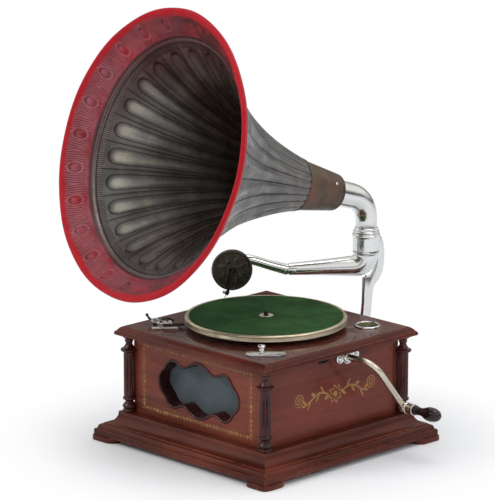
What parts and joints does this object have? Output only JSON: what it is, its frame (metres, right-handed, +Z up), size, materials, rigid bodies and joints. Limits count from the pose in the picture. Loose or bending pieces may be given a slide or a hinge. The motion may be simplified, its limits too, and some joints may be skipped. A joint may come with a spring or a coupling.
{
  "type": "table gramophone",
  "caption": "Table gramophone: square mahogany case with corner columns, felt turntable, hollow tone arm, side winding handle and a fluted flaring horn.",
  "frame": {"origin": "on the floor under the turntable's spindle", "axes": "+Z up, -Y towards the window side, +X towards the winding handle"},
  "size_m": [0.5581, 0.5326, 0.6966],
  "materials": {
    "dark_mahogany": "satin varnish",
    "mahogany": "gloss varnish",
    "ebonised": "gloss varnish",
    "window_cloth": "matt weave",
    "iron": "painted",
    "motor_brass": "satin",
    "steel": "satin",
    "dull_nickel": "tarnished",
    "felt": "matt felt",
    "nickel": "polished, worn",
    "dark_hardware": "browned",
    "leather": "matt",
    "bronze": "darkened",
    "mica": "cloudy",
    "dark_wood": "satin",
    "collar_paint": "worn",
    "horn_paint": "worn gloss"
  },
  "bodies": {
    "cabinet": {"plinth": "dark_mahogany", "bottom_board": "mahogany", "foot_front_left": "dark_mahogany", "foot_front_right": "dark_mahogany", "foot_back_left": "dark_mahogany", "foot_back_right": "dark_mahogany", "front_panel": "mahogany", "window_moulding": "ebonised", "window_cloth": "window_cloth", "back_panel": "mahogany", "left_panel": "mahogany", "right_panel": "mahogany", "column_front_left": "ebonised", "column_front_right": "ebonised", "column_back_left": "ebonised", "column_back_right": "ebonised", "deck": "mahogany", "bedplate": "iron", "lower_plate": "iron", "escutcheon": "nickel", "side_hook": "dark_hardware", "speed_plate": "nickel", "needle_cup": "nickel", "brake_base": "nickel", "brake_pivot": "dark_hardware", "bracket": "nickel", "bracket_screw_1": "nickel", "bracket_screw_2": "nickel", "pivot_screw": "steel"},
    "platter": {"spindle": "steel", "turntable": "dull_nickel", "turntable_felt": "felt", "spindle_washer": "nickel"},
    "barrel": {"spring_barrel": "motor_brass"},
    "arbor": {"winding_arbor": "steel"},
    "intermediate": {"intermediate_wheel": "motor_brass"},
    "governor": {"governor": "motor_brass"},
    "lever": {"speed_lever": "steel"},
    "knob": {"speed_knob": "nickel"},
    "crank": {"crank_shaft": "steel", "crank_arm": "nickel"},
    "grip": {"crank_ferrule": "nickel", "crank_handle": "dark_wood"},
    "brake": {"brake_lever": "nickel", "brake_pad": "leather", "brake_screw_1": "nickel", "brake_screw_2": "nickel"},
    "arm": {"tone_arm": "nickel", "neck_pin": "dark_hardware"},
    "neck": {"neck": "nickel"},
    "sound_box": {"sound_box_back": "bronze", "diaphragm": "mica", "sound_box_cover": "bronze", "stylus_bar": "dark_hardware", "needle_screw": "nickel", "needle": "steel"},
    "horn": {"elbow": "nickel", "horn_collar": "collar_paint", "horn_bell": "horn_paint"}
  },
  "joints": [
    {"name": "turntable_spin", "type": "hinge", "parent": "cabinet", "child": "platter", "pos_m": [0, 0, 0.19], "axis": [0, 0, 1], "continuous": true},
    {"name": "barrel_turn", "type": "hinge", "parent": "cabinet", "child": "barrel", "pos_m": [0.062, 0.031, 0.12], "axis": [0, 0, 1], "continuous": true},
    {"name": "intermediate_turn", "type": "hinge", "parent": "cabinet", "child": "intermediate", "pos_m": [0.03118, -0.00368, 0.143], "axis": [0, 0, 1], "continuous": true},
    {"name": "governor_spin", "type": "hinge", "parent": "cabinet", "child": "governor", "pos_m": [0, -0.0264, 0.12], "axis": [1, 0, 0], "continuous": true},
    {"name": "crank_turn", "type": "hinge", "parent": "cabinet", "child": "crank", "pos_m": [0.18, 0.031, 0.158], "axis": [1, 0, 0], "continuous": true},
    {"name": "winding_arbor_turn", "type": "hinge", "parent": "cabinet", "child": "arbor", "pos_m": [0.062, 0.031, 0.12], "axis": [0, 0, 1], "continuous": true},
    {"name": "handle_spin", "type": "hinge", "parent": "crank", "child": "grip", "pos_m": [0.203, 0.09944, 0.07497], "axis": [1, 0, 0], "continuous": true},
    {"name": "speed_knob_turn", "type": "hinge", "parent": "cabinet", "child": "knob", "pos_m": [0.11246, -0.12094, 0.186], "axis": [0, 0, 1], "range_deg": [0, 120]},
    {"name": "speed_lever_swing", "type": "hinge", "parent": "cabinet", "child": "lever", "pos_m": [0.09, -0.075, 0.14], "axis": [0, 0, 1], "range_deg": [-3, 0]},
    {"name": "brake_swing", "type": "hinge", "parent": "cabinet", "child": "brake", "pos_m": [-0.12053, -0.12506, 0.19], "axis": [0, 0, 1], "range_deg": [-18, 0]},
    {"name": "tone_arm_swing", "type": "hinge", "parent": "cabinet", "child": "arm", "pos_m": [0, 0.2255, 0.25], "axis": [0, 0, 1], "range_deg": [-25, 21]},
    {"name": "neck_lift", "type": "hinge", "parent": "arm", "child": "neck", "pos_m": [-0.07192, 0.11601, 0.2427], "axis": [-0.8358, 0.549, 0], "range_deg": [0, 28]},
    {"name": "sound_box_turn", "type": "hinge", "parent": "neck", "child": "sound_box", "pos_m": [-0.11628, 0.03699, 0.2496], "axis": [-0.8358, 0.549, 0], "range_deg": [0, 60]},
    {"name": "horn_swivel", "type": "hinge", "parent": "cabinet", "child": "horn", "pos_m": [0, 0.2255, 0.32], "axis": [0, 0, 1], "continuous": true}
  ],
  "couplings": [
    {"joint": "barrel_turn", "follows": "turntable_spin", "ratio": 0.02885},
    {"joint": "intermediate_turn", "follows": "turntable_spin", "ratio": -0.1923},
    {"joint": "governor_spin", "follows": "turntable_spin", "ratio": 12},
    {"joint": "winding_arbor_turn", "follows": "crank_turn", "ratio": -0.389},
    {"joint": "speed_lever_swing", "follows": "speed_knob_turn", "ratio": -0.025}
  ]
}
